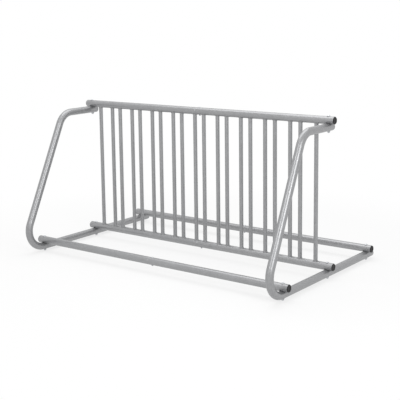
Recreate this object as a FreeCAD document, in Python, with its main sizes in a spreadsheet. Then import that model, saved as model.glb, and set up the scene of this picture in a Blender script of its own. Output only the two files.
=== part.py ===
"""Bolted floor rack for bicycles: two bent end frames carry four spliced rails and a grid of bars.

Millimetres, +Z up. The origin lies on the floor, under the middle of the rack's outline.
X runs along the rack, -Y is the side that the bends of the end frames stand out to.
"""
import FreeCAD, Part
import math
import os
import Sketcher

doc = FreeCAD.newDocument("FloorBikeRack")
V = FreeCAD.Vector

# ------------------------------------------------------------------ driving dimensions
DIMENSIONS = [
    ("tube_diameter", 41.3, "outside of the rails and of the end frames"),
    ("tube_wall", 2.5, "wall of the rails and of the end frames"),
    ("bar_diameter", 22.2, "outside of a grid bar"),
    ("bar_wall", 1.8, "wall of a grid bar"),
    ("rail_length", 1719.0, "rail from tube end to tube end"),
    ("rail_spread", 441.0, "grid plane to the axis of the front or the rear rail"),
    ("grid_height", 769.0, "axis of the base rail to the axis of the top rail"),
    ("rail_overhang", 34.5, "rail end beyond the plane of the end frame"),
    ("saddle_depth", 6.3, "how deep a rail sits in the frame tube under it"),
    ("seat_gap", 0.2, "play between a rail and the saddle pressed into the frame"),
    ("front_overhang", 139.0, "axis of the front rail to the outermost point of the front bends"),
    ("rear_overhang", 54.0, "axis of the rear rail to the rear end of the frame's lower run"),
    ("top_overhang", 30.0, "grid plane to the rear end of the frame's upper run"),
    ("leg_angle", 25.4, "lean of the frame's leg from the vertical, degrees"),
    ("bend_radius", 105.0, "centre line of both frame bends"),
    ("end_gap", 71.0, "plane of an end frame to the axis of the single bar beside it"),
    ("pair_gap", 62.0, "axis to axis of the two bars of a pair"),
    ("weld_gap", 0.2, "root gap between a coped bar end and its rail"),
    ("seam_offset", 14.0, "splice seam to the left of mid-span"),
    ("swage_length", 6.0, "cone between the full tube and the spigot"),
    ("spigot_length", 46.0, "swaged end inside the other half"),
    ("spigot_gap", 0.25, "play round the spigot"),
    ("splice_offset", 4.0, "splice bolt to the right of mid-span"),
    ("bolt_diameter", 8.0, "frame bolt"),
    ("bolt_head", 20.0, "across the frame bolt's dome"),
    ("bolt_dome", 5.0, "height of the frame bolt's dome"),
    ("neck_height", 4.5, "square neck under the dome"),
    ("nut_flats", 13.0, "across the flats of the frame nut"),
    ("nut_height", 6.5, "frame nut"),
    ("washer_diameter", 17.0, "outside of the washer"),
    ("washer_height", 1.6, "thickness of the washer"),
    ("bolt_proud", 1.6, "bolt end below its nut"),
    ("bolt_tip", 0.8, "chamfer at the end of every bolt"),
    ("splice_diameter", 6.0, "splice bolt"),
    ("splice_head", 14.0, "across the splice bolt's dome"),
    ("splice_dome", 3.4, "height of the splice bolt's dome"),
    ("splice_flats", 10.0, "across the flats of the splice nut"),
    ("splice_nut", 5.0, "height of the splice nut"),
    ("splice_proud", 1.0, "splice bolt end below its nut"),
    ("hole_play", 0.6, "hole or thread over the bolt that passes it, on the diameter"),
    ("plug_step", 1.85, "rim of the tube end that shows round the plug's head"),
    ("plug_lip", 3.2, "thickness of the plug's head outside the tube"),
    ("plug_round", 1.4, "rounded rim of the plug's head"),
    ("plug_border", 8.8, "plug's head outside the floor of its shallow dish"),
    ("plug_dish", 1.0, "depth of that dish"),
    ("plug_depth", 18.0, "plug inside the tube"),
    ("plug_wall", 2.2, "wall of the plug's skirt"),
    ("plug_gap", 0.3, "play round the plug's skirt"),
]
BAR_PAIRS = 9  # pairs of bars; a single bar closes the grid at each end

sheet = doc.addObject("Spreadsheet::Sheet", "Dims")
size = {}
for row, (alias, value, meaning) in enumerate(DIMENSIONS, start=1):
    sheet.set(f"A{row}", meaning)
    sheet.set(f"B{row}", str(value))
    sheet.setAlias(f"B{row}", alias)
    size[alias] = value
doc.recompute()

# radii, heights and offsets that many pieces share, as expressions on the sheet
TUBE_R = "Dims.tube_diameter / 2"
BORE_R = f"({TUBE_R} - Dims.tube_wall)"
SPIGOT_R = f"({BORE_R} - Dims.spigot_gap)"
STACK = "(Dims.washer_height + Dims.nut_height + Dims.bolt_proud)"
RAIL_DROP = "(Dims.tube_diameter - Dims.saddle_depth)"
RUN_Z = f"({TUBE_R} + {STACK})"
RAIL_Z = f"({RUN_Z} + {RAIL_DROP})"
TOP_Z = f"({RAIL_Z} + Dims.grid_height)"
FRONT_REACH = "(Dims.rail_spread + Dims.front_overhang)"
REAR_REACH = "(Dims.rail_spread + Dims.rear_overhang)"
GRID_Y = f"(({FRONT_REACH} - {REAR_REACH} - Dims.plug_lip) / 2)"
FRAME_X = "(Dims.rail_length / 2 - Dims.rail_overhang)"

subparts = []


# ------------------------------------------------------------------ modelling helpers
def place(item, x="0", y="0", z="0"):
    """Bind an object's position to expressions on the sheet."""
    item.setExpression("Placement.Base.x", x)
    item.setExpression("Placement.Base.y", y)
    item.setExpression("Placement.Base.z", z)


def origin_plane(body, role):
    """Return the body's own origin plane with this role."""
    return [item for item in body.Origin.OriginFeatures if item.Role == role][0]


def new_body(name):
    """Add a body to the document."""
    return doc.addObject("PartDesign::Body", name)


def new_sketch(body, name, role):
    """Add a sketch that lies on one of the body's origin planes."""
    sketch = body.newObject("Sketcher::SketchObject", name)
    sketch.AttachmentSupport = [(origin_plane(body, role), "")]
    sketch.MapMode = "FlatFace"
    return sketch


def bind(sketch, constraint, expression):
    """Add a dimension to the sketch and tie it to an expression."""
    index = sketch.addConstraint(constraint)
    sketch.setExpression(f"Constraints[{index}]", expression)


def evaluate(item, expression):
    """Return the present value of an expression as a plain number."""
    value = item.evalExpression(expression)
    return float(getattr(value, "Value", value))


def add_circle(sketch, u, v, radius):
    """Add a circle whose centre and radius follow expressions."""
    centre = V(evaluate(sketch, u), evaluate(sketch, v), 0)
    index = sketch.addGeometry(Part.Circle(centre, V(0, 0, 1), evaluate(sketch, radius)))
    bind(sketch, Sketcher.Constraint("Radius", index, evaluate(sketch, radius)), radius)
    bind(sketch, Sketcher.Constraint("DistanceX", -1, 1, index, 3, centre.x), u)
    bind(sketch, Sketcher.Constraint("DistanceY", -1, 1, index, 3, centre.y), v)


def add_outline(sketch, corners, arcs=None):
    """Add a closed outline. Corners are pairs of expressions. For a side that is an arc,
    arcs holds a point on it and its radius."""
    arcs = arcs or {}
    points = [V(evaluate(sketch, u), evaluate(sketch, v), 0) for u, v in corners]
    count = len(points)
    sides = []
    for i in range(count):
        start = points[i]
        end = points[(i + 1) % count]
        if i in arcs:
            middle = V(evaluate(sketch, arcs[i][0]), evaluate(sketch, arcs[i][1]), 0)
            sides.append(sketch.addGeometry(Part.Arc(start, middle, end)))
        else:
            sides.append(sketch.addGeometry(Part.LineSegment(start, end)))
    ends = []
    for i in range(count):
        flipped = False
        if i in arcs:
            flipped = sketch.getPoint(sides[i], 1).sub(points[i]).Length > 1e-6
        ends.append((2, 1) if flipped else (1, 2))
    for i in range(count):
        after = (i + 1) % count
        joint = Sketcher.Constraint("Coincident", sides[i], ends[i][1], sides[after], ends[after][0])
        sketch.addConstraint(joint)
    for i, (u, v) in enumerate(corners):
        bind(sketch, Sketcher.Constraint("DistanceX", -1, 1, sides[i], ends[i][0], points[i].x), u)
        bind(sketch, Sketcher.Constraint("DistanceY", -1, 1, sides[i], ends[i][0], points[i].y), v)
    for i, (_, _, radius) in arcs.items():
        bind(sketch, Sketcher.Constraint("Radius", sides[i], evaluate(sketch, radius)), radius)


def pocket_through(body, sketch, name):
    """Cut the sketch through the whole body, to both sides of its plane."""
    pocket = body.newObject("PartDesign::Pocket", name)
    pocket.Profile = sketch
    pocket.Type = "ThroughAll"
    pocket.SideType = "Symmetric"
    return pocket


def revolve(body, sketch, name, axis="H_Axis"):
    """Turn the sketch once round one of its own axes."""
    turn = body.newObject("PartDesign::Revolution", name)
    turn.Profile = sketch
    turn.ReferenceAxis = (sketch, [axis])
    turn.Angle = 360.0
    return turn


def keep(item, label):
    """Register an object as a sub-part of the rack."""
    item.Label = label
    subparts.append(item)


# ------------------------------------------------------------------ end frames
LOWER_CROSSINGS = ["-Dims.rail_spread", "0", "Dims.rail_spread"]
CROSSINGS = [(y, RAIL_DROP) for y in LOWER_CROSSINGS]
CROSSINGS.append(("0", f"Dims.grid_height + {RAIL_DROP}"))


def frame_path(body, name):
    """Centre line of the frame: lower run, front bend, leaning leg, upper bend, upper run."""
    path = new_sketch(body, name, "YZ_Plane")
    radius = size["bend_radius"]
    rise = size["grid_height"]
    leg = FreeCAD.Rotation(V(0, 0, 1), -size["leg_angle"]).multVec(V(0, 1, 0))
    outward = V(-leg.y, leg.x, 0)
    hub_y = f"({TUBE_R} + Dims.bend_radius - {FRONT_REACH})"
    hub1 = V(evaluate(path, hub_y), radius, 0)
    foot = hub1 + outward * radius
    head = foot + leg * ((rise - radius - hub1.y) / leg.y)
    hub2 = head - outward * radius
    mid1 = hub1 + (V(0, -1, 0) + outward).normalize() * radius
    mid2 = hub2 + (V(0, 1, 0) + outward).normalize() * radius
    start = V(evaluate(path, REAR_REACH), 0, 0)
    low = V(hub1.x, 0, 0)
    high = V(hub2.x, rise, 0)
    stop = V(size["top_overhang"], rise, 0)
    line1 = path.addGeometry(Part.LineSegment(start, low))
    arc1 = path.addGeometry(Part.Arc(low, mid1, foot))
    line2 = path.addGeometry(Part.LineSegment(foot, head))
    arc2 = path.addGeometry(Part.Arc(head, mid2, high))
    line3 = path.addGeometry(Part.LineSegment(high, stop))

    def end_near(index, point):
        return 1 if path.getPoint(index, 1).sub(point).Length < 1e-4 else 2

    joints = [
        (line1, arc1, low),
        (arc1, line2, foot),
        (line2, arc2, head),
        (arc2, line3, high),
    ]
    for first, second, point in joints:
        ends = (end_near(first, point), end_near(second, point))
        path.addConstraint(Sketcher.Constraint("Tangent", first, ends[0], second, ends[1]))
    path.addConstraint(Sketcher.Constraint("Horizontal", line1))
    path.addConstraint(Sketcher.Constraint("Horizontal", line3))
    bind(path, Sketcher.Constraint("Radius", arc1, radius), "Dims.bend_radius")
    bind(path, Sketcher.Constraint("Radius", arc2, radius), "Dims.bend_radius")
    bind(path, Sketcher.Constraint("DistanceX", -1, 1, line1, 1, start.x), REAR_REACH)
    path.addConstraint(Sketcher.Constraint("PointOnObject", line1, 1, -1))
    bind(path, Sketcher.Constraint("DistanceX", -1, 1, arc1, 3, hub1.x), hub_y)
    bind(path, Sketcher.Constraint("DistanceX", -1, 1, line3, 2, stop.x), "Dims.top_overhang")
    bind(path, Sketcher.Constraint("DistanceY", -1, 1, line3, 2, stop.y), "Dims.grid_height")
    slope = math.atan2(leg.y, leg.x)
    angle = Sketcher.Constraint("Angle", -1, 1, line2, 1, slope)
    bind(path, angle, "90 deg - Dims.leg_angle * 1 deg")
    return path


def frame_form(name, radius, saddle):
    """One closed form of the frame tube, with a round saddle cut for each rail."""
    body = new_body(name)
    path = frame_path(body, f"{name}_path")
    section = new_sketch(body, f"{name}_section", "XZ_Plane")
    section.setExpression("AttachmentOffset.Base.z", f"-{REAR_REACH}")
    add_circle(section, "0", "0", radius)
    doc.recompute()
    tube = body.newObject("PartDesign::AdditivePipe", f"{name}_tube")
    tube.Profile = section
    tube.Spine = (path, [])
    saddles = new_sketch(body, f"{name}_saddles", "YZ_Plane")
    for y, z in CROSSINGS:
        add_circle(saddles, y, z, saddle)
    pocket_through(body, saddles, f"{name}_seats")
    return body


def bolt_holes(body, label, crossings, height):
    """Drill the run of tube at this height for the bolts of its crossings, and nothing above it."""
    holes = new_sketch(body, f"{label}_holes", "XY_Plane")
    holes.setExpression("AttachmentOffset.Base.z", height)
    for y in crossings:
        add_circle(holes, "0", y, "(Dims.bolt_diameter + Dims.hole_play) / 2")
    drill = body.newObject("PartDesign::Pocket", f"{label}_drill")
    drill.Profile = holes
    drill.Type = "Length"
    drill.SideType = "Symmetric"
    drill.setExpression("Length", "2 * Dims.tube_diameter")


def end_frame(label, x):
    """A bent tube with four pressed saddles, each with its wall and a bolt hole."""
    saddle = f"({TUBE_R} + Dims.seat_gap)"
    outside = frame_form(f"{label}_outside", TUBE_R, saddle)
    inside = frame_form(f"{label}_inside", BORE_R, f"({saddle} + Dims.tube_wall)")
    bolt_holes(outside, f"{label}_lower", LOWER_CROSSINGS, "0")
    bolt_holes(outside, f"{label}_upper", ["0"], "Dims.grid_height")
    frame = doc.addObject("Part::Cut", label)
    frame.Base = outside
    frame.Tool = inside
    place(frame, x, GRID_Y, RUN_Z)
    keep(frame, label)
    return frame


end_frame("end_frame_left", f"-{FRAME_X}")
end_frame("end_frame_right", FRAME_X)

# ------------------------------------------------------------------ rails
RAILS = [
    ("front_rail", f"{GRID_Y} - Dims.rail_spread", RAIL_Z),
    ("base_rail", GRID_Y, RAIL_Z),
    ("rear_rail", f"{GRID_Y} + Dims.rail_spread", RAIL_Z),
    ("top_rail", GRID_Y, TOP_Z),
]
SEAM_X = "-Dims.seam_offset"
SPIGOT_X = "(Dims.spigot_length - Dims.seam_offset)"


def rail_holes(body, label, x, diameter, neck=None):
    """Cross-drill a rail for an upright bolt, with a square punched in the top wall if wanted."""
    holes = new_sketch(body, f"{label}_drill", "XY_Plane")
    add_circle(holes, x, "0", f"({diameter} + Dims.hole_play) / 2")
    pocket_through(body, holes, f"{label}_hole")
    if neck is None:
        return
    square = new_sketch(body, f"{label}_square", "XY_Plane")
    half = f"({neck} + Dims.hole_play) / 2"
    corners = [(f"{x} - {half}", f"-{half}"), (f"{x} + {half}", f"-{half}")]
    corners += [(f"{x} + {half}", half), (f"{x} - {half}", half)]
    add_outline(square, corners)
    punch = body.newObject("PartDesign::Pocket", f"{label}_punch")
    punch.Profile = square
    punch.Reversed = True
    punch.Type = "Length"
    punch.setExpression("Length", "Dims.tube_diameter")


def left_half(label, y, z):
    """Rail half that ends in a swaged spigot."""
    body = new_body(label)
    end = "-Dims.rail_length / 2"
    profile = new_sketch(body, f"{label}_profile", "XZ_Plane")
    corners = [
        (end, BORE_R),
        (f"{SEAM_X} - Dims.swage_length", BORE_R),
        (SEAM_X, f"{SPIGOT_R} - Dims.tube_wall"),
        (SPIGOT_X, f"{SPIGOT_R} - Dims.tube_wall"),
        (SPIGOT_X, SPIGOT_R),
        (SEAM_X, SPIGOT_R),
        (f"{SEAM_X} - Dims.swage_length", TUBE_R),
        (end, TUBE_R),
    ]
    add_outline(profile, corners)
    revolve(body, profile, f"{label}_tube")
    rail_holes(body, f"{label}_frame", f"-{FRAME_X}", "Dims.bolt_diameter", "Dims.bolt_diameter")
    rail_holes(body, f"{label}_splice", "Dims.splice_offset", "Dims.splice_diameter")
    place(body, "0", y, z)
    keep(body, label)


def right_half(label, y, z):
    """Rail half that takes the spigot in its plain end."""
    body = new_body(label)
    end = "Dims.rail_length / 2"
    profile = new_sketch(body, f"{label}_profile", "XZ_Plane")
    corners = [(SEAM_X, BORE_R), (end, BORE_R), (end, TUBE_R), (SEAM_X, TUBE_R)]
    add_outline(profile, corners)
    revolve(body, profile, f"{label}_tube")
    rail_holes(body, f"{label}_frame", FRAME_X, "Dims.bolt_diameter", "Dims.bolt_diameter")
    rail_holes(body, f"{label}_splice", "Dims.splice_offset", "Dims.splice_diameter")
    place(body, "0", y, z)
    keep(body, label)


for rail, rail_y, rail_z in RAILS:
    left_half(f"{rail}_left", rail_y, rail_z)
    right_half(f"{rail}_right", rail_y, rail_z)

# ------------------------------------------------------------------ grid bars
COPE_R = f"({TUBE_R} + Dims.weld_gap)"


def grid_bar(label, x):
    """Upright tube, coped at both ends to the round of the rail it is welded to."""
    body = new_body(label)
    ring = new_sketch(body, f"{label}_ring", "XY_Plane")
    add_circle(ring, "0", "0", "Dims.bar_diameter / 2")
    add_circle(ring, "0", "0", "Dims.bar_diameter / 2 - Dims.bar_wall")
    pad = body.newObject("PartDesign::Pad", f"{label}_tube")
    pad.Profile = ring
    pad.setExpression("Length", "Dims.grid_height")
    copes = new_sketch(body, f"{label}_copes", "YZ_Plane")
    add_circle(copes, "0", "0", COPE_R)
    add_circle(copes, "0", "Dims.grid_height", COPE_R)
    pocket_through(body, copes, f"{label}_ends")
    place(body, x, GRID_Y, RAIL_Z)
    keep(body, label)


side_pairs = BAR_PAIRS // 2
END_BAR_X = f"({FRAME_X} - Dims.end_gap)"
PITCH = f"(({END_BAR_X} + Dims.pair_gap / 2) / {side_pairs + 1})"
bar_positions = [f"-{END_BAR_X}"]
for step in range(-side_pairs, side_pairs + 1):
    bar_positions.append(f"{step} * {PITCH} - Dims.pair_gap / 2")
    bar_positions.append(f"{step} * {PITCH} + Dims.pair_gap / 2")
bar_positions.append(END_BAR_X)
for number, bar_x in enumerate(bar_positions, start=1):
    grid_bar(f"grid_bar_{number:02d}", bar_x)


# ------------------------------------------------------------------ tube plugs
def tube_plug(label, x, y, z, yaw):
    """Push-in plug: rounded head with a shallow dish, hollow skirt inside the tube."""
    body = new_body(label)
    profile = new_sketch(body, f"{label}_profile", "XZ_Plane")
    skirt = f"({BORE_R} - Dims.plug_gap)"
    head = f"({TUBE_R} - Dims.plug_step)"
    dish = f"({head} - Dims.plug_border)"
    corners = [
        ("0", "0"),
        ("Dims.plug_lip - Dims.plug_dish", "0"),
        ("Dims.plug_lip - Dims.plug_dish", dish),
        ("Dims.plug_lip", f"{dish} + Dims.plug_dish"),
        ("Dims.plug_lip", f"{head} - Dims.plug_round"),
        ("Dims.plug_lip - Dims.plug_round", head),
        ("0", head),
        ("0", skirt),
        ("-Dims.plug_depth + Dims.plug_wall", skirt),
        ("-Dims.plug_depth", f"{skirt} - Dims.plug_wall / 2"),
        ("-Dims.plug_depth", f"{skirt} - Dims.plug_wall"),
        ("0", f"{skirt} - Dims.plug_wall"),
    ]
    inset = "Dims.plug_round * (1 - sqrt(0.5))"
    rim = (f"Dims.plug_lip - {inset}", f"{head} - {inset}", "Dims.plug_round")
    add_outline(profile, corners, {4: rim})
    revolve(body, profile, f"{label}_form")
    place(body, x, y, z)
    body.Placement.Rotation = FreeCAD.Rotation(V(0, 0, 1), yaw)
    keep(body, label)


for rail, rail_y, rail_z in RAILS:
    tube_plug(f"{rail}_plug_left", "-Dims.rail_length / 2", rail_y, rail_z, 180)
    tube_plug(f"{rail}_plug_right", "Dims.rail_length / 2", rail_y, rail_z, 0)
for hand, frame_x in (("left", f"-{FRAME_X}"), ("right", FRAME_X)):
    upper_z = f"{RUN_Z} + Dims.grid_height"
    tube_plug(f"frame_plug_{hand}_lower", frame_x, f"{GRID_Y} + {REAR_REACH}", RUN_Z, 90)
    tube_plug(f"frame_plug_{hand}_upper", frame_x, f"{GRID_Y} + Dims.top_overhang", upper_z, 90)


# ------------------------------------------------------------------ fasteners
def dome_bolt(name, x, y, z, bolt, dome, head, length, neck=None):
    """Upright bolt that hangs from its domed head; z is the underside of the dome."""
    body = new_body(name)
    profile = new_sketch(body, f"{name}_profile", "XZ_Plane")
    radius = f"{bolt} / 2"
    corners = [
        ("0", dome),
        ("0", f"-({length})"),
        (f"{radius} - Dims.bolt_tip", f"-({length})"),
        (radius, f"-({length}) + Dims.bolt_tip"),
        (radius, "0"),
        (f"{head} / 2", "0"),
    ]
    sphere = f"((({head} / 2) ^ 2 + {dome} ^ 2) / (2 * {dome}))"
    quarter = f"{head} / 4"
    crown = f"{dome} - {sphere} + sqrt({sphere} ^ 2 - ({quarter}) ^ 2)"
    add_outline(profile, corners, {5: (quarter, crown, sphere)})
    revolve(body, profile, f"{name}_turned", "V_Axis")
    if neck is not None:
        square = new_sketch(body, f"{name}_square", "XY_Plane")
        half = f"{bolt} / 2"
        corners = [(f"-{half}", f"-{half}"), (half, f"-{half}"), (half, half), (f"-{half}", half)]
        add_outline(square, corners)
        pad = body.newObject("PartDesign::Pad", f"{name}_neck")
        pad.Profile = square
        pad.Reversed = True
        pad.setExpression("Length", neck)
    place(body, x, y, z)
    return body


def hex_nut(name, x, y, z, flats, height, bolt):
    """Hexagon nut; z is its upper face."""
    prism = doc.addObject("Part::Prism", f"{name}_hexagon")
    prism.Polygon = 6
    prism.setExpression("Circumradius", f"{flats} / sqrt(3)")
    prism.setExpression("Height", height)
    thread = doc.addObject("Part::Cylinder", f"{name}_thread")
    thread.setExpression("Radius", f"({bolt} + Dims.hole_play) / 2")
    thread.setExpression("Height", height)
    nut = doc.addObject("Part::Cut", name)
    nut.Base = prism
    nut.Tool = thread
    place(nut, x, y, f"{z} - {height}")
    return nut


def flat_washer(name, x, y, z):
    """Flat washer; z is its upper face."""
    disc = doc.addObject("Part::Cylinder", f"{name}_disc")
    disc.setExpression("Radius", "Dims.washer_diameter / 2")
    disc.setExpression("Height", "Dims.washer_height")
    hole = doc.addObject("Part::Cylinder", f"{name}_hole")
    hole.setExpression("Radius", "(Dims.bolt_diameter + Dims.hole_play) / 2")
    hole.setExpression("Height", "Dims.washer_height")
    washer = doc.addObject("Part::Cut", name)
    washer.Base = disc
    washer.Tool = hole
    place(washer, x, y, f"{z} - Dims.washer_height")
    return washer


def group(label, pieces):
    """Identical fasteners, kept as separate solids of one sub-part."""
    compound = doc.addObject("Part::Compound", label)
    compound.Links = pieces
    keep(compound, label)


frame_bolts = []
frame_washers = []
frame_nuts = []
splice_bolts = []
splice_nuts = []
BOLT_LENGTH = f"Dims.tube_diameter + {RAIL_DROP} + {STACK}"
SPLICE_LENGTH = "Dims.tube_diameter + Dims.splice_nut + Dims.splice_proud"
for rail, rail_y, rail_z in RAILS:
    crown_z = f"{rail_z} + {TUBE_R}"
    under_z = f"({rail_z} - {RAIL_DROP} - {TUBE_R})"
    for hand, frame_x in (("left", f"-{FRAME_X}"), ("right", FRAME_X)):
        name = f"{rail}_{hand}"
        dims = ("Dims.bolt_diameter", "Dims.bolt_dome", "Dims.bolt_head", BOLT_LENGTH)
        frame_bolts.append(dome_bolt(f"{name}_bolt", frame_x, rail_y, crown_z, *dims, "Dims.neck_height"))
        frame_washers.append(flat_washer(f"{name}_washer", frame_x, rail_y, under_z))
        nut_z = f"({under_z} - Dims.washer_height)"
        dims = ("Dims.nut_flats", "Dims.nut_height", "Dims.bolt_diameter")
        frame_nuts.append(hex_nut(f"{name}_nut", frame_x, rail_y, nut_z, *dims))
    dims = ("Dims.splice_diameter", "Dims.splice_dome", "Dims.splice_head", SPLICE_LENGTH)
    splice_bolts.append(dome_bolt(f"{rail}_splice_bolt", "Dims.splice_offset", rail_y, crown_z, *dims))
    dims = ("Dims.splice_flats", "Dims.splice_nut", "Dims.splice_diameter")
    nut_z = f"({rail_z} - {TUBE_R})"
    splice_nuts.append(hex_nut(f"{rail}_splice_nut", "Dims.splice_offset", rail_y, nut_z, *dims))

group("frame_bolts", frame_bolts)
group("frame_washers", frame_washers)
group("frame_nuts", frame_nuts)
group("splice_bolts", splice_bolts)
group("splice_nuts", splice_nuts)

# ------------------------------------------------------------------ checks and files
doc.recompute()
faults = [item.Name for item in doc.Objects if {"Invalid", "Error"} & set(item.State)]
for item in subparts:
    if item.Shape.isNull() or not item.Shape.isValid():
        faults.append(item.Label)
if faults:
    raise RuntimeError("failed objects: " + ", ".join(faults))

os.makedirs("parts", exist_ok=True)
for item in subparts:
    item.Shape.exportStep(f"parts/{item.Label}.step")
box = Part.makeCompound([item.Shape for item in subparts]).optimalBoundingBox(False)
print(f"{len(subparts)} sub-parts, {box.XLength:.1f} x {box.YLength:.1f} x {box.ZLength:.1f} mm")
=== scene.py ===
import math

import bpy
from bpy.props import (
    FloatProperty,
    FloatVectorProperty,
    IntProperty,
    PointerProperty,
)
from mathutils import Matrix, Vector


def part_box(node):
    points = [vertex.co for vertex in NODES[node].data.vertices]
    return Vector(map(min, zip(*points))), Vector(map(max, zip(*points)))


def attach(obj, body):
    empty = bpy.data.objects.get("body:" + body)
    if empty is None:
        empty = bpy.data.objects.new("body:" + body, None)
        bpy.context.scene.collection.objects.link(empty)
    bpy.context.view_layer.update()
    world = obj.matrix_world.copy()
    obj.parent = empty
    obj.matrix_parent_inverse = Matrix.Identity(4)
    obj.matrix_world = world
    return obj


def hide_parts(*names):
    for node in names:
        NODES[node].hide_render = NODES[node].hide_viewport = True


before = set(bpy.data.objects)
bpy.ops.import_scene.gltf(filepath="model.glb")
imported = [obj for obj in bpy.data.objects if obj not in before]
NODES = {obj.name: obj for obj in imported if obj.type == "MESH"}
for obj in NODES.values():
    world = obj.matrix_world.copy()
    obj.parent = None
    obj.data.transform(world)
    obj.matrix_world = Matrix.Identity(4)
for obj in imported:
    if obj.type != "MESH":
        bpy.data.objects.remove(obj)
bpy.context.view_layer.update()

bl_info = {
    "name": "Floor bike rack",
    "version": (1, 0, 0),
    "blender": (4, 5, 0),
    "location": "View3D > Sidebar > Bike Rack",
    "description": "Finishes the tubes, plugs, bolts, nuts and welds of a floor bike rack",
    "category": "Object",
}

HANDS = ("left", "right")
RAILS = ("front_rail", "base_rail", "rear_rail", "top_rail")
BARS = sorted(name for name in NODES if name.startswith("grid_bar_"))


# ------------------------------------------------------------------ places read from the frame
def middle(node):
    """Return the centre of a node's box."""
    low, high = (Vector(corner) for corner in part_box(node))
    return (low + high) / 2


def extent(node):
    """Return the length of a node's box along X, Y and Z."""
    low, high = (Vector(corner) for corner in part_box(node))
    return high - low


RAIL_RADIUS = extent("rear_rail_left").z / 2
BAR_RADIUS = extent(BARS[0]).x / 2
BASE_RAIL = middle("base_rail_left")
TOP_RAIL = middle("top_rail_left")
RUN_BOTTOM = Vector(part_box("end_frame_left")[0]).z
FRAME_TOP = Vector(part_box("end_frame_left")[1]).z
FRAME_X = {hand: middle(f"end_frame_{hand}").x for hand in HANDS}
BASE_CROWN = BASE_RAIL.z + RAIL_RADIUS
TOP_CROWN = TOP_RAIL.z + RAIL_RADIUS
SPLICE_X = middle("splice_bolts").x

MM = 0.001
# places closer than this count as the same place, and points closer than this are merged
NEARLY = 0.01 * MM
MERGED = 0.001 * MM
# a face faces up or down when its normal reaches this far along Z
FACING = 0.9
# faces that meet at less than this angle are shaded as one round surface
SMOOTH_ANGLE = math.radians(25.0)
# ties the sides of hexagons and triangles to their widths
ROOT_3 = math.sqrt(3.0)


# ------------------------------------------------------------------ shader sums
class Signal:
    """One socket of a material, so that sums on it can be written as sums."""

    def __init__(self, finish, socket):
        self.finish = finish
        self.socket = socket

    def combine(self, operation, first, second):
        """Add the Math node that works out one operation."""
        return self.finish.node("ShaderNodeMath", {"operation": operation}, {0: first, 1: second})

    def __add__(self, other):
        return self.combine("ADD", self, other)

    def __sub__(self, other):
        return self.combine("SUBTRACT", self, other)

    def __rsub__(self, other):
        return self.combine("SUBTRACT", other, self)

    def __mul__(self, other):
        return self.combine("MULTIPLY", self, other)

    __radd__ = __add__
    __rmul__ = __mul__

    def ramp(self, low, high, start=0.0, end=1.0):
        """Run smoothly from start to end while the value goes from low to high."""
        settings = {"interpolation_type": "SMOOTHSTEP"}
        values = {"Value": self, "From Min": low, "From Max": high, "To Min": start, "To Max": end}
        return self.finish.node("ShaderNodeMapRange", settings, values)


class Finish:
    """A material, or the world, whose look is worked out from Object coordinates."""

    def __init__(self, name, collection=bpy.data.materials):
        self.material = collection.new(name)
        self.material.use_nodes = True
        self.tree = self.material.node_tree
        self.tree.nodes.clear()
        self.place = self.node("ShaderNodeTexCoord", output="Object")

    def node(self, kind, settings=None, values=None, output=0):
        """Add a node, set it up, then fill or link its sockets."""
        node = self.tree.nodes.new(kind)
        for name, setting in (settings or {}).items():
            setattr(node, name, setting)
        for name, value in (values or {}).items():
            if isinstance(value, Signal):
                self.tree.links.new(value.socket, node.inputs[name])
            else:
                node.inputs[name].default_value = value
        return Signal(self, node.outputs[output])

    def mapped(self, scale, turn=(0.0, 0.0, 0.0), source=None):
        """Return the coordinates turned and stretched."""
        values = {"Vector": source or self.place, "Rotation": turn, "Scale": scale}
        return self.node("ShaderNodeMapping", None, values)

    def axis(self, name, source=None):
        """Return one coordinate by its letter."""
        return self.node("ShaderNodeSeparateXYZ", None, {0: source or self.place}, name)

    def noise(self, where, scale, detail=2.0):
        """Return fractal noise centred on zero."""
        values = {"Vector": where, "Scale": scale, "Detail": detail, "Roughness": 0.55}
        return self.node("ShaderNodeTexNoise", None, values, "Fac") - 0.5

    def cells(self, where, scale):
        """Return one random value for each crystal-like cell, centred on zero."""
        values = {"Vector": where, "Scale": scale, "Randomness": 1.0}
        colour = self.node("ShaderNodeTexVoronoi", {"feature": "F1"}, values, "Color")
        return self.axis("X", colour) - 0.5

    def tinted(self, colour, shade):
        """Return the colour made lighter or darker by the shade, which is 1 for no change."""
        settings = {"data_type": "RGBA", "blend_type": "MULTIPLY"}
        return self.node("ShaderNodeMix", settings, {0: 1.0, 6: (*colour, 1.0), 7: shade}, 2)

    def mixed(self, factor, first, second):
        """Return a vector between two vectors."""
        values = {0: factor, 4: first, 5: second}
        return self.node("ShaderNodeMix", {"data_type": "VECTOR"}, values, 1)

    def bumped(self, height, depth, strength):
        """Return normals for a relief of this depth in metres."""
        values = {"Height": height, "Distance": depth, "Strength": strength}
        return self.node("ShaderNodeBump", None, values)

    def seen_rays(self):
        """Return 1 for rays that show the backdrop: the camera's, and those through metal or glass."""
        kinds = ("Is Camera Ray", "Is Glossy Ray", "Is Transmission Ray")
        camera, glossy, through = (self.node("ShaderNodeLightPath", output=kind) for kind in kinds)
        return (camera + glossy + through).ramp(0.0, 1.0)

    def surface(self, values):
        """Close the material with its Principled shader."""
        shader = self.node("ShaderNodeBsdfPrincipled", None, values)
        self.node_output(shader)
        return self.material

    def node_output(self, shader, kind="ShaderNodeOutputMaterial"):
        """Link a shader to the output node."""
        output = self.tree.nodes.new(kind)
        self.tree.links.new(shader.socket, output.inputs["Surface"])


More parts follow.
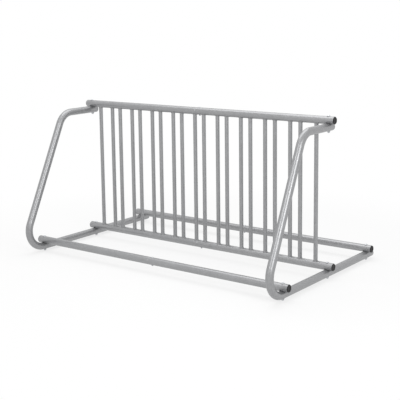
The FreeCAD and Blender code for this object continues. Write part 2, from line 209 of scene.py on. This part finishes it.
# ------------------------------------------------------------------ settings
class TubeSettings(bpy.types.PropertyGroup):
    colour: FloatVectorProperty(
        name="Zinc colour", description="Colour of the galvanised tube",
        subtype="COLOR", size=3, default=(0.335, 0.338, 0.345), min=0.0, max=1.0,
    )
    roughness: FloatProperty(
        name="Roughness", description="How dull the zinc is", default=0.36, min=0.0, max=1.0,
    )
    spangle: FloatProperty(
        name="Spangle", description="Width of a zinc crystal",
        default=7.0 * MM, unit="LENGTH", min=0.001,
    )
    streak: FloatProperty(
        name="Streak", description="Width of a drawing streak along the tube",
        default=4.0 * MM, unit="LENGTH", min=0.0005,
    )
    lean: FloatProperty(
        name="Leg lean", description="Lean of the end frame's leg, which its streaks follow",
        default=math.radians(25.4), unit="ROTATION",
    )
    bend: FloatProperty(
        name="Bend height", description="Height over which a bend turns the streaks",
        default=105.0 * MM, unit="LENGTH",
    )


class FastenerSettings(bpy.types.PropertyGroup):
    colour: FloatVectorProperty(
        name="Plating colour", description="Colour of the zinc-plated bolts, washers and nuts",
        subtype="COLOR", size=3, default=(0.50, 0.51, 0.53), min=0.0, max=1.0,
    )
    frame_pitch: FloatProperty(
        name="Frame thread", description="Rise of the frame bolt's thread over one turn",
        default=1.25 * MM, unit="LENGTH", min=0.0002,
    )
    splice_pitch: FloatProperty(
        name="Splice thread", description="Rise of the splice bolt's thread over one turn",
        default=1.0 * MM, unit="LENGTH", min=0.0002,
    )
    neck: FloatProperty(
        name="Square neck", description="Height of the square neck under the frame bolt's dome",
        default=4.5 * MM, unit="LENGTH", min=0.0,
    )
    frame_flats: FloatProperty(
        name="Frame nut", description="Width across the flats of the nut under the end frame",
        default=13.0 * MM, unit="LENGTH",
    )
    frame_bolt: FloatProperty(
        name="Frame bolt", description="Diameter of the bolt through rail and end frame",
        default=8.0 * MM, unit="LENGTH",
    )
    play: FloatProperty(
        name="Play", description="Bore of a nut over its bolt, on the diameter",
        default=0.6 * MM, unit="LENGTH",
    )
    tip: FloatProperty(
        name="Tip", description="Chamfer at the end of a bolt", default=0.8 * MM, unit="LENGTH",
    )
    rim: FloatProperty(
        name="Rim", description="Roll-over at the edge of a bolt's dome",
        default=0.25 * MM, unit="LENGTH",
    )
    splice_flats: FloatProperty(
        name="Splice nut", description="Width across the flats of the nut under a rail splice",
        default=10.0 * MM, unit="LENGTH",
    )
    splice_bolt: FloatProperty(
        name="Splice bolt", description="Diameter of the bolt through a rail splice",
        default=6.0 * MM, unit="LENGTH",
    )
    chamfer: FloatProperty(
        name="Chamfer", description="Angle of the cone that takes the corners off a nut",
        default=math.radians(30.0), unit="ROTATION",
    )


class PlugSettings(bpy.types.PropertyGroup):
    colour: FloatVectorProperty(
        name="Plug colour", description="Colour of the moulded plugs",
        subtype="COLOR", size=3, default=(0.010, 0.010, 0.011), min=0.0, max=1.0,
    )
    grain: FloatProperty(
        name="Grain", description="Size of the moulded texture",
        default=0.9 * MM, unit="LENGTH", min=0.0001,
    )


class WeldSettings(bpy.types.PropertyGroup):
    leg: FloatProperty(
        name="Weld leg", description="Width of the weld bead on the rail",
        default=3.2 * MM, unit="LENGTH", min=0.0005,
    )
    ripples: IntProperty(
        name="Ripples", description="Number of ripples round one bead", default=26, min=8,
    )
    ripple_depth: FloatProperty(
        name="Ripple depth", description="How much each ripple stands out, as a share of the bead",
        default=0.016, subtype="FACTOR", min=0.0, max=0.3,
    )


class StageSettings(bpy.types.PropertyGroup):
    floor_colour: FloatVectorProperty(
        name="Floor colour", description="Colour of the floor under the rack",
        subtype="COLOR", size=3, default=(0.95, 0.95, 0.95), min=0.0, max=1.0,
    )
    sky: FloatProperty(
        name="Sky light", description="Strength of the even light from all round",
        default=0.62, min=0.0,
    )
    overhead: FloatProperty(
        name="Overhead light", description="Power of the wide lamp above the rack",
        default=48.0, unit="POWER", min=0.0,
    )
    key: FloatProperty(
        name="Key light", description="Power of the side lamp, which the front lamp follows",
        default=34.0, unit="POWER", min=0.0,
    )
    azimuth: FloatProperty(
        name="Azimuth", description="Direction of the camera, turned from the front to the right",
        default=math.radians(36.995), unit="ROTATION",
    )
    elevation: FloatProperty(
        name="Elevation", description="Height angle of the camera",
        default=math.radians(8.845), unit="ROTATION",
    )
    roll: FloatProperty(
        name="Roll", description="Turn of the camera about its line of sight",
        default=math.radians(-0.722), unit="ROTATION",
    )
    distance: FloatProperty(
        name="Distance", description="Camera to the middle of the base rail, along the line of sight",
        default=5.2563, unit="LENGTH",
    )
    slide: FloatProperty(
        name="Slide", description="Camera to the right of the line through the base rail's middle",
        default=-0.00556, unit="LENGTH",
    )
    lift: FloatProperty(
        name="Lift", description="Camera above the line through the base rail's middle",
        default=0.54004, unit="LENGTH",
    )
    lens: FloatProperty(
        name="Lens", description="Focal length on a sensor 36 mm wide", default=82.115, min=1.0,
    )
    shift: FloatProperty(
        name="Shift", description="Upright lens shift that frames the rack", default=-0.125,
    )


# ------------------------------------------------------------------ modelling helpers
def clear_selection():
    """Deselect everything and leave edit mode."""
    if bpy.context.object and bpy.context.object.mode != "OBJECT":
        bpy.ops.object.mode_set(mode="OBJECT")
    bpy.ops.object.select_all(action="DESELECT")


def only(piece):
    """Select one object and make it active."""
    clear_selection()
    piece.select_set(True)
    bpy.context.view_layer.objects.active = piece


def deselect_mesh(piece):
    """Deselect all of a piece's mesh, and leave the piece in object mode."""
    only(piece)
    bpy.ops.object.mode_set(mode="EDIT")
    bpy.ops.mesh.select_all(action="DESELECT")
    bpy.ops.object.mode_set(mode="OBJECT")


def select_faces(piece, test):
    """Select the faces whose centre and normal pass the test, then open edit mode."""
    deselect_mesh(piece)
    for face in piece.data.polygons:
        face.select = test(face.center, face.normal)
    bpy.ops.object.mode_set(mode="EDIT")
    bpy.ops.mesh.select_mode(type="FACE")


def settle(piece):
    """Put a piece's place into its mesh, so that its object sits at the origin."""
    only(piece)
    bpy.ops.object.transform_apply(location=True, rotation=True, scale=True)


def apply_modifier(piece, kind, **settings):
    """Add a modifier, set it and apply it."""
    only(piece)
    modifier = piece.modifiers.new(kind.title(), kind)
    for name, value in settings.items():
        setattr(modifier, name, value)
    bpy.ops.object.modifier_apply(modifier=modifier.name)


def cut_with(piece, tool, operation):
    """Join or cut a piece with a tool body, merge points that fall together, and delete the tool."""
    apply_modifier(piece, "BOOLEAN", object=tool, operation=operation, solver="EXACT")
    bpy.data.objects.remove(tool)
    bpy.ops.object.mode_set(mode="EDIT")
    bpy.ops.mesh.select_all(action="SELECT")
    bpy.ops.mesh.remove_doubles(threshold=MERGED)
    bpy.ops.object.mode_set(mode="OBJECT")


def copy_to(pattern, name, place, turn=(0.0, 0.0, 0.0)):
    """Copy a pattern with its own mesh to a place."""
    clear_selection()
    twin = pattern.copy()
    twin.data = pattern.data.copy()
    twin.name = name
    twin.data.name = name
    bpy.context.scene.collection.objects.link(twin)
    twin.location = place
    twin.rotation_euler = turn
    settle(twin)
    return twin


def crossing_places(low_z, high_z):
    """Return the name and place of each crossing of a rail and an end frame, top rail at high_z."""
    places = {}
    for rail in RAILS:
        height = high_z if rail == "top_rail" else low_z
        for hand in HANDS:
            places[f"{rail}_{hand}"] = (FRAME_X[hand], middle(f"{rail}_left").y, height)
    return places


def splice_places(low_z, high_z):
    """Return the name and place of each rail's splice, top rail at high_z."""
    places = {}
    for rail in RAILS:
        height = high_z if rail == "top_rail" else low_z
        places[f"{rail}_splice"] = (SPLICE_X, middle(f"{rail}_left").y, height)
    return places


def fasten(pattern, kind, places, plating):
    """Copy a fastener to its places, delete the pattern and return the copies."""
    copies = []
    for name, place in places.items():
        copies.append(copy_to(pattern, f"{name}_{kind}", place))
        finish_piece(copies[-1], plating)
    bpy.data.objects.remove(pattern)
    return copies


def finish_piece(piece, material):
    """Give a piece its material, slot and body."""
    piece.data.materials.clear()
    piece.data.materials.append(material)
    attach(piece, "root")


def repaint(node, material):
    """Give a node of the frame a better material."""
    for slot in NODES[node].material_slots:
        slot.material = material


# ------------------------------------------------------------------ materials
# patterns per metre, then each pattern's share of the shade, the dullness and the relief
CLOUDS, GRAINS = 7.0, 700.0
SPANGLE_SHADE, STREAK_SHADE, CLOUD_SHADE = 0.12, 0.14, 0.14
SPANGLE_DULLS, STREAK_DULLS, CLOUD_DULLS = 0.05, 0.10, 0.12
SPANGLE_RELIEF, STREAK_RELIEF = 0.05, 0.3
# how far a drawing streak's pattern is stretched along its tube
STRETCH = 0.02


def zinc_coat(finish, along, settings):
    """Galvanised steel: crystals, streaks along the tube, soft clouds and fine grain."""
    spangle = finish.cells(finish.place, 1.0 / settings.spangle)
    streak = finish.noise(along, 1.0 / settings.streak, detail=3.0)
    cloud = finish.noise(finish.place, CLOUDS)
    grain = finish.noise(finish.place, GRAINS)
    shade = 1.0 + SPANGLE_SHADE * spangle + STREAK_SHADE * streak + CLOUD_SHADE * cloud
    dulled = SPANGLE_DULLS * spangle + STREAK_DULLS * streak + CLOUD_DULLS * cloud
    relief = grain + STREAK_RELIEF * streak + SPANGLE_RELIEF * spangle
    return finish.surface({
        "Base Color": finish.tinted(settings.colour, shade),
        "Metallic": 0.75,
        "Roughness": settings.roughness + dulled,
        "Normal": finish.bumped(relief, depth=0.1 * MM, strength=0.4),
    })


def straight_zinc(name, stretch, settings):
    """Zinc on a straight tube whose streaks run along the stretched axis."""
    finish = Finish(name)
    return zinc_coat(finish, finish.mapped(stretch), settings)


def bent_zinc(settings):
    """Zinc on an end frame, with streaks that follow the runs and the leaning leg."""
    finish = Finish("zinc_end_frame")
    height = finish.axis("Z")
    turn = settings.lean - math.pi / 2
    leaning = finish.mapped((1.0, 1.0, 1.0), (turn, 0.0, 0.0))
    above = height.ramp(RUN_BOTTOM + RAIL_RADIUS, RUN_BOTTOM + settings.bend)
    below = height.ramp(FRAME_TOP - settings.bend, FRAME_TOP - RAIL_RADIUS, 1.0, 0.0)
    along = finish.mixed(above * below, finish.place, leaning)
    return zinc_coat(finish, finish.mapped((1.0, STRETCH, 1.0), source=along), settings)


# patterns per metre, then each pattern's share of the shade and the dullness
WELD_LUMPS, WELD_CLOUDS = 900.0, 160.0
LUMP_SHADE, WELD_CLOUD_SHADE, WELD_CLOUD_DULLS = 0.25, 0.15, 0.2


def weld_zinc(settings):
    """Zinc over a weld: lumpier and a little duller than the tube."""
    finish = Finish("zinc_weld")
    lumps = finish.noise(finish.place, WELD_LUMPS, detail=3.0)
    cloud = finish.noise(finish.place, WELD_CLOUDS)
    shade = 0.97 + LUMP_SHADE * lumps + WELD_CLOUD_SHADE * cloud
    return finish.surface({
        "Base Color": finish.tinted(settings.colour, shade),
        "Metallic": 0.8,
        "Roughness": 0.50 + WELD_CLOUD_DULLS * cloud,
        "Normal": finish.bumped(lumps, depth=0.4 * MM, strength=0.6),
    })


# patterns per metre, then each pattern's share of the shade and the dullness
BLOTCHES, SCRATCHES = 260.0, 2400.0
BLOTCH_SHADE, SCRATCH_SHADE, BLOTCH_DULLS = 0.2, 0.1, 0.25


def plated_steel(settings):
    """Bright zinc plating with blotches and fine upright scratches."""
    finish = Finish("plated_fastener")
    blotch = finish.noise(finish.place, BLOTCHES, detail=3.0)
    scratch = finish.noise(finish.mapped((1.0, 1.0, 0.1)), SCRATCHES)
    shade = 1.0 + BLOTCH_SHADE * blotch + SCRATCH_SHADE * scratch
    return finish.surface({
        "Base Color": finish.tinted(settings.colour, shade),
        "Metallic": 1.0,
        "Roughness": 0.34 + BLOTCH_DULLS * blotch,
        "Normal": finish.bumped(scratch, depth=0.05 * MM, strength=0.7),
    })


# scuffs per metre, then each pattern's share of the shade and the dullness
SCUFFS = 120.0
GRAIN_SHADE, SCUFF_SHADE, GRAIN_DULLS, SCUFF_DULLS = 0.5, 0.9, 0.1, 0.25


def moulded_plastic(settings):
    """Black moulded plastic with a fine grain and scuffs."""
    finish = Finish("moulded_plug")
    grain = finish.noise(finish.place, 1.0 / settings.grain, detail=3.0)
    scuff = finish.noise(finish.mapped((1.0, 0.3, 2.0)), SCUFFS, detail=4.0)
    shade = 1.0 + GRAIN_SHADE * grain + SCUFF_SHADE * scuff
    return finish.surface({
        "Base Color": finish.tinted(settings.colour, shade),
        "Roughness": 0.48 + SCUFF_DULLS * scuff + GRAIN_DULLS * grain,
        "Specular IOR Level": 0.3,
        "Normal": finish.bumped(grain, depth=0.3 * MM, strength=0.5),
    })


# ------------------------------------------------------------------ tubes
class RACK_OT_tubes(bpy.types.Operator):
    """Give the end frames, rails and grid bars their galvanised finish"""

    bl_idname = "rack.tubes"
    bl_label = "Galvanise tubes"

    def execute(self, context):
        settings = context.scene.rack_tubes
        bent = bent_zinc(settings)
        rail_zinc = straight_zinc("zinc_rail", (STRETCH, 1.0, 1.0), settings)
        bar_zinc = straight_zinc("zinc_bar", (1.0, 1.0, STRETCH), settings)
        for hand in HANDS:
            repaint(f"end_frame_{hand}", bent)
            for rail in RAILS:
                repaint(f"{rail}_{hand}", rail_zinc)
        for bar in BARS:
            repaint(bar, bar_zinc)
        return {"FINISHED"}


# ------------------------------------------------------------------ plugs
class RACK_OT_plugs(bpy.types.Operator):
    """Give the tube plugs their moulded plastic"""

    bl_idname = "rack.plugs"
    bl_label = "Finish plugs"

    def execute(self, context):
        plastic = moulded_plastic(context.scene.rack_plugs)
        for name in NODES:
            if "_plug_" in name:
                repaint(name, plastic)
        return {"FINISHED"}


# ------------------------------------------------------------------ bolts, washers and nuts
# the groove's width and depth as shares of the pitch, and the thread's length over the shank's
# radius
GROOVE_WIDTH, GROOVE_DEPTH, THREADED = 0.98, 0.65, 3.4
THREAD_STEPS = 32
# the square neck's width over the shank's radius, a little more than the shank's own
NECK_WIDTH = 2.02
# sides and rings of the ball that a dome is cut from, and the steps round its rim
BALL_SIDES, BALL_RINGS, RIM_STEPS = 48, 40, 3


def thread_groove(radius, pitch, low, high):
    """Model the V-shaped groove that a die cuts round a bolt, from below its tip to the run-out."""
    clear_selection()
    # a triangle whose sides slope at 60 degrees, just narrower than a turn of the thread
    reach = GROOVE_WIDTH * pitch / ROOT_3
    root = radius - GROOVE_DEPTH * pitch
    bpy.ops.mesh.primitive_circle_add(
        vertices=3, radius=reach, location=(root + reach, 0, low),
        rotation=(math.pi / 2, -math.pi / 2, 0),
    )
    groove = bpy.context.object
    settle(groove)
    turns = math.ceil((high - low) / pitch)
    apply_modifier(
        groove, "SCREW", screw_offset=pitch, iterations=turns,
        steps=THREAD_STEPS, render_steps=THREAD_STEPS,
    )
    only(groove)
    bpy.ops.object.mode_set(mode="EDIT")
    bpy.ops.mesh.select_all(action="SELECT")
    bpy.ops.mesh.fill_holes(sides=3)
    bpy.ops.mesh.normals_make_consistent(inside=False)
    bpy.ops.object.mode_set(mode="OBJECT")
    return groove


def square_neck(width, top, bottom):
    """Model the square neck that keeps a bolt from turning in its rail."""
    clear_selection()
    bpy.ops.mesh.primitive_cube_add(
        size=1.0, location=(0, 0, (top + bottom) / 2), scale=(width, width, top - bottom),
    )
    neck = bpy.context.object
    settle(neck)
    return neck


def dome_bolt(shank, head, dome, length, settings):
    """Model a bolt that hangs from the underside of its dome, which is at its origin."""
    clear_selection()
    ball = (head * head + dome * dome) / (2 * dome)
    bpy.ops.mesh.primitive_uv_sphere_add(
        segments=BALL_SIDES, ring_count=BALL_RINGS, radius=ball, location=(0, 0, dome - ball),
    )
    bolt = bpy.context.object
    bolt.name = "bolt_pattern"
    settle(bolt)
    bpy.ops.object.mode_set(mode="EDIT")
    bpy.ops.mesh.select_all(action="SELECT")
    bpy.ops.mesh.bisect(plane_co=(0, 0, 0), plane_no=(0, 0, 1), use_fill=True, clear_inner=True)
    # the dome's sharp rim is rolled over
    bpy.ops.mesh.bevel(
        offset=settings.rim, segments=RIM_STEPS, affect="EDGES", clamp_overlap=True,
    )
    bpy.ops.object.mode_set(mode="OBJECT")
    underside = max(vertex.co.x for vertex in bolt.data.vertices if vertex.co.z < NEARLY)
    # step in to the shank, run down it, and chamfer its end
    tip = settings.tip
    runs = ((0.0, shank / underside), (length - tip, 1.0), (tip, (shank - tip) / shank))
    for drop, scale in runs:
        select_faces(
            bolt, lambda centre, normal: normal.z < -FACING and centre.xy.length < NEARLY,
        )
        bpy.ops.mesh.extrude_region_move(TRANSFORM_OT_translate={"value": (0, 0, -drop)})
        bpy.ops.transform.resize(value=(scale, scale, 1))
        bpy.ops.object.mode_set(mode="OBJECT")
    return bolt


def cut_thread(bolt, shank, length, pitch):
    """Cut the thread at the end of a bolt, and smooth the bolt's round faces."""
    groove = thread_groove(shank, pitch, -length - pitch, -length + THREADED * shank)
    cut_with(bolt, groove, "DIFFERENCE")
    only(bolt)
    bpy.ops.object.shade_smooth_by_angle(angle=SMOOTH_ANGLE)


class RACK_OT_bolts(bpy.types.Operator):
    """Model the domed bolts with their threads, and plate them and the washers"""

    bl_idname = "rack.bolts"
    bl_label = "Model bolts"

    def execute(self, context):
        settings = context.scene.rack_fasteners
        plating = plated_steel(settings)
        repaint("frame_washers", plating)
        low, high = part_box("frame_bolts")
        shank, head = settings.frame_bolt / 2, high[0] - FRAME_X["right"]
        dome, length, pitch = high[2] - TOP_CROWN, BASE_CROWN - low[2], settings.frame_pitch
        pattern = dome_bolt(shank, head, dome, length, settings)
        cut_with(pattern, square_neck(NECK_WIDTH * shank, dome / 4, -settings.neck), "UNION")
        cut_thread(pattern, shank, length, pitch)
        for bolt in fasten(pattern, "bolt", crossing_places(BASE_CROWN, TOP_CROWN), plating):
            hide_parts("frame_bolts")
        low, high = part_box("splice_bolts")
        shank, head = settings.splice_bolt / 2, high[0] - SPLICE_X
        dome, length, pitch = high[2] - TOP_CROWN, BASE_CROWN - low[2], settings.splice_pitch
        pattern = dome_bolt(shank, head, dome, length, settings)
        cut_thread(pattern, shank, length, pitch)
        for bolt in fasten(pattern, "bolt", splice_places(BASE_CROWN, TOP_CROWN), plating):
            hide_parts("splice_bolts")
        return {"FINISHED"}


# the flat face and the turned blank as shares of the nut's width and corner radius,
# and the countersink's depth and width as shares of the bore
NUT_FACE, NUT_BLANK = 0.96, 1.02
SINK_DEPTH, SINK_WIDTH = 0.14, 1.28
BLANK_SIDES, DRILL_SIDES = 72, 48


def trim_cone(radius, height, drop, face):
    """Model the turned blank whose cones take the corners off a nut."""
    clear_selection()
    bpy.ops.mesh.primitive_cylinder_add(
        vertices=BLANK_SIDES, radius=radius, depth=height - 2 * drop, location=(0, 0, height / 2),
    )
    cone = bpy.context.object
    settle(cone)
    for side in (1, -1):
        select_faces(cone, lambda centre, normal: normal.z * side > FACING)
        bpy.ops.mesh.extrude_region_move(TRANSFORM_OT_translate={"value": (0, 0, side * drop)})
        bpy.ops.transform.resize(value=(face / radius, face / radius, 1))
        bpy.ops.object.mode_set(mode="OBJECT")
    return cone


def countersunk_drill(bore, height):
    """Model the drill that opens a nut's bore and countersinks both of its ends."""
    clear_selection()
    bpy.ops.mesh.primitive_cylinder_add(
        vertices=DRILL_SIDES, radius=bore, depth=height, location=(0, 0, height / 2),
    )
    drill = bpy.context.object
    settle(drill)
    sink = bore * SINK_DEPTH
    for side in (1, -1):
        select_faces(drill, lambda centre, normal: normal.z * side > FACING)
        bpy.ops.transform.translate(value=(0, 0, -side * sink))
        bpy.ops.mesh.extrude_region_move(TRANSFORM_OT_translate={"value": (0, 0, side * sink * 2)})
        bpy.ops.transform.resize(value=(SINK_WIDTH, SINK_WIDTH, 1))
        bpy.ops.object.mode_set(mode="OBJECT")
    return drill


def chamfered_nut(flats, height, bore, chamfer):
    """Model a hexagon nut with coned corners and a countersunk bore, standing on its origin."""
    corner = flats / ROOT_3
    face = NUT_FACE * flats / 2.0
    blank = NUT_BLANK * corner
    drop = (blank - face) * math.tan(chamfer)
    clear_selection()
    sixth = math.radians(30.0)
    bpy.ops.mesh.primitive_cylinder_add(
        vertices=6, radius=corner, depth=height, location=(0, 0, height / 2), rotation=(0, 0, sixth),
    )
    nut = bpy.context.object
    nut.name = "nut_pattern"
    settle(nut)
    cut_with(nut, trim_cone(blank, height, drop, face), "INTERSECT")
    cut_with(nut, countersunk_drill(bore, height), "DIFFERENCE")
    only(nut)
    bpy.ops.object.shade_smooth_by_angle(angle=SMOOTH_ANGLE)
    return nut


class RACK_OT_nuts(bpy.types.Operator):
    """Model the nuts with their chamfered corners in place of the plain ones"""

    bl_idname = "rack.nuts"
    bl_label = "Model nuts"

    def execute(self, context):
        settings = context.scene.rack_fasteners
        plating = bpy.data.materials["plated_fastener"]
        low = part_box("frame_nuts")[0][2]
        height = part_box("frame_washers")[0][2] - low
        bore = (settings.frame_bolt + settings.play) / 2
        pattern = chamfered_nut(settings.frame_flats, height, bore, settings.chamfer)
        places = crossing_places(low, low + TOP_RAIL.z - BASE_RAIL.z)
        for nut in fasten(pattern, "nut", places, plating):
            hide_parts("frame_nuts")
        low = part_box("splice_nuts")[0][2]
        height = BASE_RAIL.z - RAIL_RADIUS - low
        bore = (settings.splice_bolt + settings.play) / 2
        pattern = chamfered_nut(settings.splice_flats, height, bore, settings.chamfer)
        places = splice_places(low, TOP_RAIL.z - RAIL_RADIUS - height)
        for nut in fasten(pattern, "nut", places, plating):
            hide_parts("splice_nuts")
        return {"FINISHED"}


# ------------------------------------------------------------------ welds
# the bead's centre line outside the bar and its radius, as shares of the weld's leg
BEAD_OFFSET, BEAD_RADIUS = 0.18, 0.55
BEAD_SIDES = 12


def weld_bead(settings):
    """Model one fillet bead that sits round a bar on the crown of a rail."""
    clear_selection()
    ring = BAR_RADIUS + settings.leg * BEAD_OFFSET
    bpy.ops.mesh.primitive_torus_add(
        major_segments=2 * settings.ripples, minor_segments=BEAD_SIDES, major_radius=ring,
        minor_radius=settings.leg * BEAD_RADIUS, location=(0, 0, 0), rotation=(math.pi / 2, 0, 0),
    )
    bead = bpy.context.object
    settle(bead)
    # every other cross-section stands a little proud
    deselect_mesh(bead)
    step = math.pi / settings.ripples
    for vertex in bead.data.vertices:
        turn = math.atan2(vertex.co.z, vertex.co.x)
        vertex.select = round(turn / step) % 2 == 0
    bpy.ops.object.mode_set(mode="EDIT")
    swell = 1.0 + settings.ripple_depth
    bpy.ops.transform.resize(value=(swell, swell, swell))
    # the bar meets the rail's round over a longer arc than its own width
    bpy.ops.mesh.select_all(action="SELECT")
    arc = RAIL_RADIUS * math.asin(BAR_RADIUS / RAIL_RADIUS) / BAR_RADIUS
    bpy.ops.transform.resize(value=(1, 1, arc))
    bpy.ops.object.mode_set(mode="OBJECT")
    reach = bead.dimensions.z
    apply_modifier(
        bead, "SIMPLE_DEFORM", deform_method="BEND", deform_axis="X", angle=reach / RAIL_RADIUS,
    )
    bead.rotation_euler = (-math.pi / 2, 0, 0)
    bead.location = (0, 0, RAIL_RADIUS)
    settle(bead)
    bpy.ops.object.shade_smooth()
    return bead


class RACK_OT_welds(bpy.types.Operator):
    """Model the weld beads that hold each grid bar to the base rail and the top rail"""

    bl_idname = "rack.welds"
    bl_label = "Lay weld beads"

    def execute(self, context):
        pattern = weld_bead(context.scene.rack_welds)
        zinc = weld_zinc(context.scene.rack_tubes)
        for bar in BARS:
            foot, number = middle(bar), bar[-2:]
            head = foot.copy()
            foot.z, head.z = BASE_RAIL.z, TOP_RAIL.z
            base = copy_to(pattern, f"base_weld_{number}", foot)
            top = copy_to(pattern, f"top_weld_{number}", head, (math.pi, 0, 0))
            for bead in (base, top):
                finish_piece(bead, zinc)
        bpy.data.objects.remove(pattern)
        return {"FINISHED"}


# ------------------------------------------------------------------ stage
# under the rack the floor has this share of plain white, and from near to far it turns all white
FLOOR_SIZE, FLOOR_NEAR, FLOOR_FAR, FLOOR_WHITE = 24.0, 1.0, 2.2, 0.72
# lamps face the target, with sizes in metres and directions as azimuth and height angle
LAMP_TARGET = (0, 0, 0.4)
OVERHEAD_PLACE, OVERHEAD_SIZE = (-0.6, 0.4, 3.6), (3.6, 2.6)
KEY_DISTANCE, KEY_SIZE = 4.5, (1.3, 1.3)
SIDE_KEY = (math.radians(59.0), math.radians(26.0))
FRONT_KEY = (math.radians(5.0), math.radians(37.0))
# power of the front lamp over that of the side lamp
FRONT_SHARE = 0.6
# the camera's sensor in millimetres, and how far it sees in metres
SENSOR_WIDTH, SIGHT_LIMIT = 36.0, 60.0


def floor_material(colour):
    """Pale floor that takes the rack's shadow and fades to plain white further out."""
    finish = Finish("floor")
    near = finish.node("ShaderNodeBsdfDiffuse", None, {"Color": (*colour, 1.0)})
    white = finish.node("ShaderNodeEmission", None, {"Color": (1, 1, 1, 1), "Strength": 1.0})
    far = finish.node("ShaderNodeVectorMath", {"operation": "LENGTH"}, {0: finish.place}, "Value")
    factor = far.ramp(FLOOR_NEAR, FLOOR_FAR, FLOOR_WHITE, 1.0) * finish.seen_rays()
    mix = finish.node("ShaderNodeMixShader", None, {0: factor, 1: near, 2: white})
    finish.node_output(mix)
    return finish.material


def white_world(sky):
    """Even light from all round, which camera, metal and glass see as plain white."""
    room = Finish("white_room", bpy.data.worlds)
    strength = room.seen_rays() * (1.0 - sky) + sky
    light = room.node("ShaderNodeBackground", None, {"Color": (1, 1, 1, 1), "Strength": strength})
    room.node_output(light, "ShaderNodeOutputWorld")
    bpy.context.scene.world = room.material


def area_lamp(name, place, size, power):
    """Add a soft rectangular lamp that faces the rack."""
    place = Vector(place)
    aim = (Vector(LAMP_TARGET) - place).to_track_quat("-Z", "Y")
    bpy.ops.object.light_add(type="AREA", location=place, rotation=aim.to_euler())
    lamp = bpy.context.object
    lamp.name = name
    lamp.data.shape = "RECTANGLE"
    lamp.data.size, lamp.data.size_y = size
    lamp.data.energy = power
    lamp.visible_camera = False


def compass(azimuth, elevation):
    """Return the direction at an azimuth, turned from the front to the right, and a height angle."""
    return Vector((
        math.sin(azimuth) * math.cos(elevation),
        -math.cos(azimuth) * math.cos(elevation),
        math.sin(elevation),
    ))


def sight_axes(azimuth, elevation, roll):
    """Return the camera's right, up and backward directions."""
    back = compass(azimuth, elevation)
    level = Vector((0, 0, 1)).cross(back).normalized()
    upright = back.cross(level)
    right = level * math.cos(roll) + upright * math.sin(roll)
    up = upright * math.cos(roll) - level * math.sin(roll)
    return right, up, back


def add_camera(stage):
    """Place the camera that sees the rack as the photograph does."""
    right, up, back = sight_axes(stage.azimuth, stage.elevation, stage.roll)
    aim = Vector((0, BASE_RAIL.y, BASE_RAIL.z))
    place = aim + back * stage.distance + right * stage.slide + up * stage.lift
    bpy.ops.object.camera_add(location=place)
    camera = bpy.context.object
    turn = camera.matrix_world.copy()
    for row in range(3):
        turn[row][0] = right[row]
        turn[row][1] = up[row]
        turn[row][2] = back[row]
        turn[row][3] = place[row]
    camera.matrix_world = turn
    camera.data.sensor_width = SENSOR_WIDTH
    camera.data.lens = stage.lens
    camera.data.shift_y = stage.shift
    camera.data.clip_end = SIGHT_LIMIT
    bpy.context.scene.camera = camera


class RACK_OT_stage(bpy.types.Operator):
    """Set up the pale floor, the soft lamps and the camera"""

    bl_idname = "rack.stage"
    bl_label = "Set the stage"

    def execute(self, context):
        stage = context.scene.rack_stage
        clear_selection()
        bpy.ops.mesh.primitive_plane_add(size=FLOOR_SIZE, location=(0, 0, 0))
        floor = bpy.context.object
        floor.name = "floor"
        floor.data.materials.append(floor_material(stage.floor_colour))
        white_world(stage.sky)
        side = compass(*SIDE_KEY) * KEY_DISTANCE
        front = compass(*FRONT_KEY) * KEY_DISTANCE
        area_lamp("overhead_lamp", OVERHEAD_PLACE, OVERHEAD_SIZE, stage.overhead)
        area_lamp("side_lamp", side, KEY_SIZE, stage.key)
        area_lamp("front_lamp", front, KEY_SIZE, FRONT_SHARE * stage.key)
        add_camera(stage)
        context.scene.view_settings.view_transform = "Standard"
        return {"FINISHED"}


# ------------------------------------------------------------------ panel and registration
STEPS = (RACK_OT_tubes, RACK_OT_plugs, RACK_OT_bolts, RACK_OT_nuts, RACK_OT_welds, RACK_OT_stage)
GROUPS = {
    "rack_tubes": TubeSettings,
    "rack_fasteners": FastenerSettings,
    "rack_plugs": PlugSettings,
    "rack_welds": WeldSettings,
    "rack_stage": StageSettings,
}


class RACK_PT_panel(bpy.types.Panel):
    """Lists the rack's settings and steps"""

    bl_idname = "RACK_PT_panel"
    bl_label = "Floor bike rack"
    bl_space_type = "VIEW_3D"
    bl_region_type = "UI"
    bl_category = "Bike Rack"

    def draw(self, context):
        layout = self.layout
        for name in GROUPS:
            box = layout.box()
            settings = getattr(context.scene, name)
            for key in settings.__annotations__:
                box.prop(settings, key)
        for step in STEPS:
            layout.operator(step.bl_idname)


def register():
    for name, group in GROUPS.items():
        bpy.utils.register_class(group)
        setattr(bpy.types.Scene, name, PointerProperty(type=group))
    for step in STEPS:
        bpy.utils.register_class(step)
    bpy.utils.register_class(RACK_PT_panel)


def unregister():
    bpy.utils.unregister_class(RACK_PT_panel)
    for step in reversed(STEPS):
        bpy.utils.unregister_class(step)
    for name, group in GROUPS.items():
        delattr(bpy.types.Scene, name)
        bpy.utils.unregister_class(group)


def main():
    register()
    bpy.ops.rack.tubes()
    bpy.ops.rack.plugs()
    bpy.ops.rack.bolts()
    bpy.ops.rack.nuts()
    bpy.ops.rack.welds()
    bpy.ops.rack.stage()


if __name__ == "__main__":
    main()
